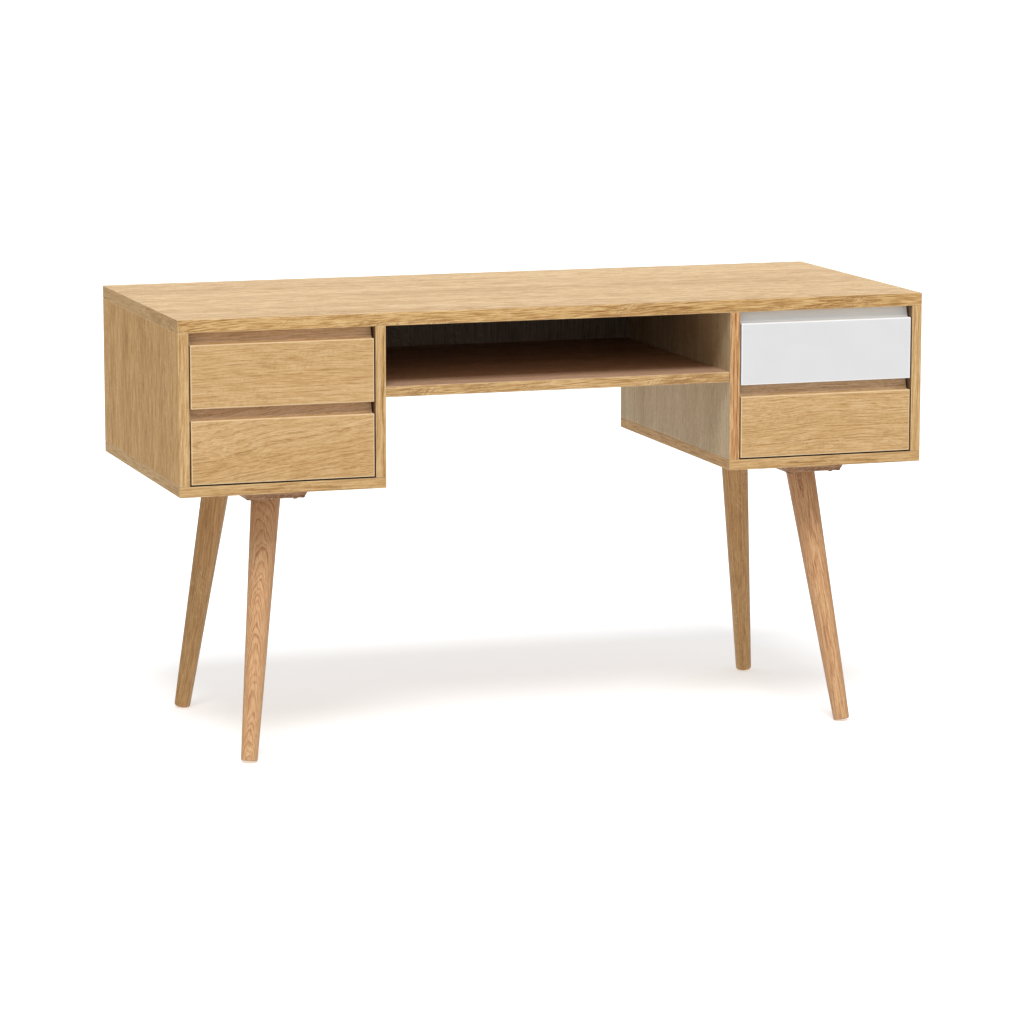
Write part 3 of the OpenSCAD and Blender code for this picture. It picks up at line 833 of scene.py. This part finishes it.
def wood_colour(tree, wood, tones, shares):
    """The tone is the middle one, raised and lowered by the rings' figure and by the shares of the
    fibres, the streaks and the drift. A ramp of three tones makes it a colour."""
    figure = shares["Ring tone"]
    tone = maths(tree, "MULTIPLY_ADD", wood.outputs["Ring tone"], figure, 0.5 - 0.35 * figure)
    for part in ("Fibre", "Streak", "Drift"):
        centred = maths(tree, "SUBTRACT", wood.outputs[part], 0.5)
        tone = maths(tree, "MULTIPLY_ADD", centred, shares[part], tone)
    ramp = add(tree, "ValToRGB", {"Fac": tone})
    stops = ramp.color_ramp.elements
    stops.new(0.5)
    for stop, position, colour in zip(stops, TONE_STOPS, tones):
        stop.position = position
        stop.color = (*colour, 1)
    return ramp.outputs["Color"]


def oak(name, centre, along, face, pith=0.12, shift=0.0, lean=0.0, ring=0.0032, wander=0.02,
        swirl=0.004, figure=0.25, fibre=0.5, streak=0.5, drift=0.4, pores=0.6, fleck=0.25,
        fleck_tone=PALE_FLECK, tones=OAK_TONES, roughness=0.42, gloss=0.38, rub_and_highlight=0.12,
        shade_before=None):
    """Lacquered oak cut from a trunk whose pith lies as in_trunk says. The other shares say how
    strongly each mark of the wood shows, and one of them how pale an eased edge is made, as
    scuffing and as a painted highlight. In front of a given place along Y, the wood is darkened
    with painted shade, for the shade inside the pedestals."""
    paint, tree, shader = new_paint(name)
    place = in_trunk(tree, centre, along, face, pith, shift, lean)
    wood = add(tree, "Group", {"Place": place, "Ring": ring, "Wander": wander, "Swirl": swirl},
               node_tree=OAK_FIGURE)
    pore, streaks = wood.outputs["Pore"], wood.outputs["Streak"]
    colour = wood_colour(tree, wood, tones, {
        "Ring tone": figure, "Fibre": fibre, "Streak": streak, "Drift": drift,
    })
    colour = tinted(tree, colour, pore, pores, PORE_TONE, "MULTIPLY")
    colour = tinted(tree, colour, wood.outputs["Fleck"], fleck, fleck_tone)
    # Eased edges are paled, as scuffing and as a painted highlight
    uneven = maths(tree, "ADD", wood.outputs["Fibre"], 0.5)
    worn_and_highlit = maths(tree, "MULTIPLY", rubbing_and_highlight(tree), uneven)
    colour = tinted(tree, colour, worn_and_highlit, rub_and_highlight, RUBBED_OAK_AND_HIGHLIGHT)
    # Painted shade: in front of the given place along Y the colour is darkened, for the shade
    # inside a pedestal
    if shade_before is not None:
        depth = add(tree, "SeparateXYZ", {"Vector": object_place(tree)}).outputs["Y"]
        inside = smooth(tree, depth, shade_before - MM, shade_before + MM, 1.0, 0.0)
        colour = blend_rgb(tree, inside, colour, PAINTED_INSIDE_SHADE, "MULTIPLY")
    tree.links.new(colour, shader.inputs["Base Color"])
    rough = maths(tree, "MULTIPLY_ADD", pore, 0.2, roughness - 0.04)
    rough = maths(tree, "MULTIPLY_ADD", streaks, 0.06, rough)
    tree.links.new(rough, shader.inputs["Roughness"])
    hollow = maths(tree, "MULTIPLY_ADD", pore, -1.0, 1.0)
    hollow = maths(tree, "MULTIPLY_ADD", streaks, -0.25, hollow)
    bumped(tree, shader, hollow, OAK_RELIEF, 0.6)
    shader.inputs["Specular IOR Level"].default_value = gloss
    return paint


# Least cosines of the angle between a face's normal and a direction that it counts as facing
ROUGHLY = 0.75
CLOSELY = 0.985


def finish(piece, face_paint, edge_paints=(), near=ROUGHLY):
    """Gives a piece its paint, and other paints to the faces that look in given directions:
    edge_paints is [(paint, [directions])], and near is the least cosine between the two."""
    mesh = piece.data
    mesh.materials.clear()
    mesh.materials.append(face_paint)
    normals = np.empty(len(mesh.polygons) * 3)
    mesh.polygons.foreach_get("normal", normals)
    normals = normals.reshape(-1, 3)
    chosen = np.zeros(len(normals), np.int32)
    for index, (paint, directions) in enumerate(edge_paints, 1):
        mesh.materials.append(paint)
        for direction in directions:
            chosen[normals @ np.array(direction) > near] = index
    mesh.polygons.foreach_set("material_index", chosen)


# Middle of the pedestals' back panels along Y
BACK_PLANE = middle_of("left_back_panel").y
LIPPING = dict(lean=0.02, ring=0.006, wander=0.02, figure=0.2, fibre=0.5, streak=0.75, drift=0.7,
               fleck=0.9, fleck_tone=DARK_FLECK)


def finish_top():
    top = middle_of("desk_top")
    # Painted light: the top's veneer takes paler tones for the light falling on it
    veneer = oak("oak_top", top, X, (0, -0.8, -0.6), pith=0.5, lean=0.004, ring=0.008, wander=0.04,
                 figure=0.25, fibre=0.7, streak=0.75, drift=0.7, pores=0.75, tones=TOP_PAINTED_LIGHT_TONES)
    lipping = oak("oak_top_lipping", top, X + 0.03 * Z, Y, pith=0.3, tones=LIPPING_TONES, **LIPPING)
    end = oak("oak_top_end", top, Y + 0.02 * Z, X, pith=0.3, ring=0.0055, wander=0.01, figure=0.3,
              fibre=0.3, streak=0.4, drift=0.3, tones=EDGE_TONES)
    finish(pieces["desk_top"], veneer, [(lipping, [-Y, Y]), (end, [-X, X])])


def finish_sides():
    """The pedestals' sides have upright veneer, each cut from another place in a trunk. The faces
    that look at the knees are paler and greyer, a painted reflection of the white backdrop, and
    those that look at the drawers are darkened with painted shade in front of the back panel."""
    for number, (node, outwards) in enumerate((
        ("left_outer_side", -X), ("left_inner_side", X), ("right_inner_side", -X),
        ("right_outer_side", X),
    )):
        middle = middle_of(node)
        place = middle + 0.07 * number * Y
        cut = dict(pith=0.6 + 0.1 * number, lean=0.006, ring=0.0065, wander=0.04, figure=0.2)
        face = oak(f"oak_{node}", place, Z, (0.2, 1, 0), fibre=0.7, streak=0.75, drift=1.0,
                   pores=0.75, tones=SIDE_TONES, **cut)
        red = node == "right_inner_side"
        edge = oak(f"oak_{node}_edge", middle, Z, (1, 0.15, 0), pith=0.2 + 0.03 * number, lean=0.01,
                   ring=0.0048, wander=0.006, figure=0.55, streak=0.7 if red else 0.5,
                   tones=INNER_EDGE_TONES if red else EDGE_TONES)
        # Painted shade: the faces inside the pedestal are darkened in front of the back panel
        shaded_inside = oak(f"oak_{node}_dull", place, Z, (0.2, 1, 0), fibre=0.7, tones=SIDE_TONES,
                   shade_before=BACK_PLANE, **cut)
        paints = [(edge, [-Y, Y]), (shaded_inside, [-outwards])]
        if node.endswith("inner_side"):
            # Painted reflection: the faces that look at the knees take paler, greyer tones for the
            # white backdrop's sheen
            painted_reflection = oak(f"oak_{node}_pale", place, Z, (0.2, 1, 0), streak=0.35, drift=0.7,
                       tones=BACKDROP_REFLECTION_TONES, **cut)
            paints.append((painted_reflection, [outwards]))
        finish(pieces[node], face, paints)


def finish_level_boards():
    for node in ("left_base_board", "right_base_board"):
        middle = middle_of(node)
        face = oak(f"oak_{node}", middle, X + 0.01 * Z, (0, 1, 0.3), pith=0.4, ring=0.005,
                   tones=EDGE_TONES)
        end = oak(f"oak_{node}_end", middle, Y, X, pith=0.3, ring=0.005, wander=0.01, figure=0.4,
                  tones=EDGE_TONES)
        # Painted shade: the base board's upper face is darkened inside the pedestal, in front of
        # the back panel
        inner = oak(f"oak_{node}_inner", middle, X, (0, 1, 0.3), pith=0.4, tones=EDGE_TONES,
                    shade_before=BACK_PLANE)
        finish(pieces[node], face, [(end, [-X, X]), (inner, [Z])])
    middle = middle_of("centre_shelf")
    # Painted shade: the shelf takes darker, redder tones for the shade under the top
    face = oak("oak_shelf", middle, X, (0, 1, 0.3), pith=0.4, ring=0.005, wander=0.04,
               tones=SHADED_SHELF_TONES)
    lipping = oak("oak_shelf_lipping", middle, X + 0.04 * Z, Y, pith=0.2, tones=EDGE_TONES,
                  **LIPPING)
    finish(pieces["centre_shelf"], face, [(lipping, [-Y, Y])])


def finish_backs():
    for node in ("left_back_panel", "right_back_panel", "centre_back_panel"):
        cut = dict(pith=0.45, ring=0.006, wander=0.05)
        rear = oak(f"oak_{node}", middle_of(node), Z, (1, 0.3, 0), tones=SIDE_TONES, **cut)
        # Painted shade: the face that looks forwards takes dark tones for the deep shade in front
        # of it
        shaded_front = oak(f"oak_{node}_inner", middle_of(node), Z, (1, 0.3, 0), tones=BAY_BACK_SHADE_TONES, **cut)
        finish(pieces[node], rear, [(shaded_front, [-Y])])


# Distance down a leg's axis to where its cut is given
LEG_MIDDLE = 0.25
LEG_GRAIN_FACE = (0.45, 1, 0)
# Each leg's cut: the front left one shows nested ovals, the rear ones straight streaks and darker
# tones, which are painted shade for the shade under the desk
LEG_CUTS = {
    "front_left": dict(pith=0.07, lean=0.12, ring=0.0015, swirl=0.02, figure=0.42, fibre=0.4,
                       streak=0.3, pores=0.5, tones=LEG_TONES),
    "front_right": dict(pith=0.10, lean=0.035, ring=0.0022, swirl=0.008, figure=0.25, fibre=0.4,
                        streak=0.4, tones=LEG_TONES),
    "rear_left": dict(pith=0.16, lean=0.015, ring=0.004, figure=0.3, fibre=0.5, streak=0.4,
                      tones=SHADED_REAR_LEG_TONES),
    "rear_right": dict(pith=0.2, lean=0.01, ring=0.004, figure=0.25, fibre=0.5, streak=0.35,
                       tones=SHADED_REAR_LEG_TONES),
}


def finish_legs():
    for corner, cut in LEG_CUTS.items():
        leg = f"{corner}_leg"
        top, axis = leg_axis(leg, f"{leg}_plate")
        middle = top + axis * LEG_MIDDLE
        finish(pieces[leg], oak(f"oak_{leg}", middle, axis, LEG_GRAIN_FACE, shift=0.003, **cut))
        plate = f"{leg}_plate"
        finish(pieces[plate], oak(f"oak_{plate}", middle_of(plate), X, (0, 1, 0.2), pith=0.3,
                                  tones=PLATE_TONES, gloss=0.15))


# ---------------- drawers' finishes

# Each oak front's cut
FRONT_CUTS = {
    "upper_left": dict(along=X + 0.01 * Z, face=(0, 0.25, 1), pith=0.3, ring=0.005, wander=0.012,
                       figure=0.12, fibre=0.3, streak=0.38, pores=0.5, fleck=0.22,
                       fleck_tone=DARK_FLECK),
    "lower_left": dict(along=X + 0.08 * Z, face=(0, 0.7, 0.7), pith=0.12, lean=0.05, ring=0.006,
                       wander=0.03, swirl=0.014, figure=0.16, fibre=0.35, streak=0.35, drift=0.6),
    "lower_right": dict(along=X, face=(0, 0.5, 1), pith=0.13, lean=0.01, ring=0.004, wander=0.03,
                        swirl=0.012, figure=0.2, fibre=0.35, streak=0.4, fleck=0.35,
                        fleck_tone=DARK_FLECK),
}
# Way that the leaning wall of a finger recess looks
RECESS_WAY = Vector((0, -GRIP_H, GRIP_LEAN)).normalized()

# Each lacquer's dull and bright white, the recess lacquer's paler and bluer as painted light
# against the shade under the top, and the tones of its peel and of its scuffed edges, which carry a
# painted highlight
FACE_WHITES = ((0.69, 0.69, 0.70), (0.75, 0.75, 0.75))
RECESS_PAINTED_LIGHT_WHITES = ((0.90, 0.95, 0.99), (0.92, 0.97, 1.0))
PEEL_SHADE = (0.6, 0.6, 0.6, 1)
RUBBED_LACQUER_AND_HIGHLIGHT = (0.95, 0.95, 0.95, 1)
LACQUER_PEEL = 700.0
LACQUER_CLOUDS = 14.0
LACQUER_RELIEF = 0.02 * MM


def white_lacquer(name, shaded_inside, bright):
    """Sprayed lacquer: a slow cloud between two whites, a faint orange-peel in colour and bump, and
    scuffed edges with a painted highlight."""
    paint, tree, shader = new_paint(name)
    place = object_place(tree)
    peel = even_noise(tree, place, LACQUER_PEEL, 2.0)
    cloud = even_noise(tree, place, LACQUER_CLOUDS, 3.0)
    colour = blend_rgb(tree, cloud, (*shaded_inside, 1), (*bright, 1))
    colour = tinted(tree, colour, peel, 0.1, PEEL_SHADE)
    # Eased edges are paled, as scuffing and as a painted highlight
    colour = tinted(tree, colour, rubbing_and_highlight(tree), 0.8, RUBBED_LACQUER_AND_HIGHLIGHT)
    tree.links.new(colour, shader.inputs["Base Color"])
    tree.links.new(smooth(tree, cloud, 0.3, 0.7, 0.34, 0.42), shader.inputs["Roughness"])
    bumped(tree, shader, peel, LACQUER_RELIEF, 0.5)
    return paint


# Birch plywood: its long-grain and end-grain plies, a stain over both, and its faces' tones
PLY_LIGHT = (0.76, 0.60, 0.38, 1)
PLY_DARK = (0.50, 0.32, 0.16, 1)
PLY_STAIN = (0.70, 0.52, 0.30, 1)
PLY_WAVES = 90.0
PLY_SPECKS = 1400.0
PLY_RELIEF = 0.06 * MM
SIDE_PLIES = 9
BOTTOM_PLIES = 5
BIRCH_TONES = ((0.84, 0.71, 0.50), (0.76, 0.61, 0.40), (0.62, 0.45, 0.26))


def birch(name, centre, along, face):
    """The pale lacquered face of birch plywood: wide quiet rings, few pores."""
    return oak(name, centre, along, face, pith=0.09, lean=0.02, ring=0.012, wander=0.03,
               swirl=0.012, figure=0.3, fibre=0.7, streak=0.3, drift=0.7, pores=0.15, fleck=0.1,
               tones=BIRCH_TONES, roughness=0.5)


def ply_edge(name, node, across, plies):
    """The edge of plywood: long-grain and end-grain plies take turns across the thickness. The
    share of the thickness, times half the number of plies, gives the ply by its fraction."""
    paint, tree, shader = new_paint(name)
    low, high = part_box(node)
    place = object_place(tree)
    split = add(tree, "SeparateXYZ", {"Vector": place})
    share = maths(tree, "SUBTRACT", split.outputs["XYZ"[across]], low[across])
    share = maths(tree, "DIVIDE", share, high[across] - low[across])
    waves = even_noise(tree, place, PLY_WAVES, 3.0)
    turns = maths(tree, "MULTIPLY_ADD", waves, 0.12, maths(tree, "MULTIPLY", share, plies / 2))
    turn = maths(tree, "FRACT", turns)
    starts, ends = smooth(tree, turn, 0.46, 0.54), smooth(tree, turn, 0.94, 1.0, 1.0, 0.0)
    end_grain = maths(tree, "MULTIPLY", starts, ends)
    speck = even_noise(tree, place, PLY_SPECKS, 2.0)
    tone = maths(tree, "MULTIPLY", end_grain, smooth(tree, speck, 0.3, 0.7, 0.6, 1.0))
    colour = blend_rgb(tree, tone, PLY_LIGHT, PLY_DARK)
    colour = tinted(tree, colour, waves, 0.3, PLY_STAIN)
    tree.links.new(colour, shader.inputs["Base Color"])
    tree.links.new(smooth(tree, tone, 0.0, 1.0, 0.48, 0.66), shader.inputs["Roughness"])
    bumped(tree, shader, tone, -PLY_RELIEF, 0.6)
    return paint


def finish_drawers():
    for drawer in DRAWERS:
        node = f"{drawer}_drawer"
        front = f"{node}_front"
        if drawer == WHITE_DRAWER:
            face = white_lacquer("white_lacquer", *FACE_WHITES)
            # Painted light: the finger recess takes paler, bluer whites against the shade under the
            # top
            painted_light = white_lacquer("white_lacquer_painted_light", *RECESS_PAINTED_LIGHT_WHITES)
        else:
            cut = FRONT_CUTS[drawer]
            # The oak fronts' eased edges take a strong painted highlight as well as scuffing
            face = oak(f"oak_{front}", middle_of(front), rub_and_highlight=0.7, **cut)
            # Painted light: the finger recess takes paler tones against the shade under the top
            painted_light = oak(f"oak_{front}_recess", middle_of(front), tones=RECESS_PAINTED_LIGHT_TONES, **cut)
        finish(pieces[front], face, [(painted_light, [RECESS_WAY])], near=CLOSELY)
        for board_name, along, across, plies in (
            ("left_side", Y, 0, SIDE_PLIES), ("right_side", Y, 0, SIDE_PLIES),
            ("back", X, 1, SIDE_PLIES), ("bottom", X, 2, BOTTOM_PLIES),
        ):
            part = f"{node}_{board_name}"
            flat = (X, Y, Z)[across]
            face = birch(f"birch_{part}", middle_of(part), along, flat)
            edge = ply_edge(f"ply_edge_{part}", part, across, plies)
            ways = [way * sign for way in (X, Y, Z) if way != flat for sign in (-1, 1)]
            finish(pieces[part], face, [(edge, ways)])


# ---------------- metal and dowels

# Each plated steel's ground and blotch colours and its roughness
DRAWN_STEEL = ((0.80, 0.81, 0.82), (0.62, 0.64, 0.67), 0.34)
DULL_ZINC = ((0.70, 0.71, 0.73), (0.50, 0.51, 0.54), 0.42)
BRONZED_STEEL = ((0.30, 0.19, 0.11), (0.16, 0.09, 0.05), 0.45)
POLISHED_STEEL = ((0.86, 0.86, 0.87), (0.74, 0.75, 0.77), 0.16)
CAGE_STEEL = ((0.66, 0.60, 0.46), (0.48, 0.43, 0.33), 0.4)
# How many marks of each kind there are in a metre
METAL_CLOUDS = 45.0
PLATE_CRYSTALS = 260.0
BALL_CRYSTALS = 900.0
DRAWN_LINES = (1800.0, 12.0, 1800.0)
BLASTED_GRAINS = (500.0, 500.0, 500.0)
METAL_RELIEF = 0.02 * MM

BEECH_TONES = ((0.80, 0.60, 0.42), (0.70, 0.49, 0.31), (0.55, 0.34, 0.19))
BEECH_FLECK = (0.58, 0.36, 0.2, 1)


def plated(name, ground, blotch, roughness, brushed=False, crystals=PLATE_CRYSTALS):
    """Plated steel: cloudy crystals in colour and roughness, and where the strip was drawn, fine
    lines along its length (Y)."""
    paint, tree, shader = new_paint(name)
    place = object_place(tree)
    shader.inputs["Metallic"].default_value = 1.0
    cells = add(tree, "TexVoronoi", {"Vector": place, "Scale": crystals}).outputs["Color"]
    crystal = add(tree, "SeparateColor", {"Color": cells}).outputs[0]
    cloud = even_noise(tree, place, METAL_CLOUDS, 4.0)
    line = stretched_noise(tree, place, DRAWN_LINES if brushed else BLASTED_GRAINS, 2.0, 0.6)
    tone = maths(tree, "MULTIPLY_ADD", crystal, 0.3, maths(tree, "MULTIPLY", cloud, 0.7))
    colour = blend_rgb(tree, tone, (*ground, 1), (*blotch, 1))
    colour = tinted(tree, colour, line, 0.25, (*blotch, 1), "MULTIPLY")
    tree.links.new(colour, shader.inputs["Base Color"])
    rough = maths(tree, "MULTIPLY_ADD", tone, 0.15, roughness - 0.08)
    rough = maths(tree, "MULTIPLY_ADD", line, 0.16, rough)
    tree.links.new(rough, shader.inputs["Roughness"])
    bumped(tree, shader, line, METAL_RELIEF, 0.5)
    return paint


def paint_node(node, paint):
    """Gives a CAD node's own object a paint."""
    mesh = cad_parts[node].data
    mesh.materials.clear()
    mesh.materials.append(paint)


def finish_fixings():
    strip = plated("drawn_steel", *DRAWN_STEEL, brushed=True)
    zinc = plated("dull_zinc", *DULL_ZINC)
    bronzed = plated("bronzed_steel", *BRONZED_STEEL)
    ball = plated("polished_steel", *POLISHED_STEEL, crystals=BALL_CRYSTALS)
    cage = plated("cage_steel", *CAGE_STEEL, brushed=True)
    for drawer in DRAWERS:
        for node in ("cabinet_runners", "middle_runners", "drawer_runners"):
            paint_node(f"{drawer}_{node}", strip)
        paint_node(f"{drawer}_drawer_screws", zinc)
    for node in ("leg_bolts", "leg_inserts", "runner_screws"):
        paint_node(node, zinc)
    paint_node("leg_plate_screws", bronzed)
    for rows, cages in ball_rows:
        finish(rows, ball)
        finish(cages, cage)
    dowel = oak("beech_dowels", middle_of("carcass_dowels"), X, Z, pith=0.2, ring=0.0025,
                figure=0.25, streak=0.35, pores=0.5, fleck=0.5, fleck_tone=BEECH_FLECK,
                tones=BEECH_TONES, roughness=0.6)
    paint_node("carcass_dowels", dowel)


finish_top()
finish_sides()
finish_level_boards()
finish_backs()
finish_legs()
finish_drawers()
finish_fixings()
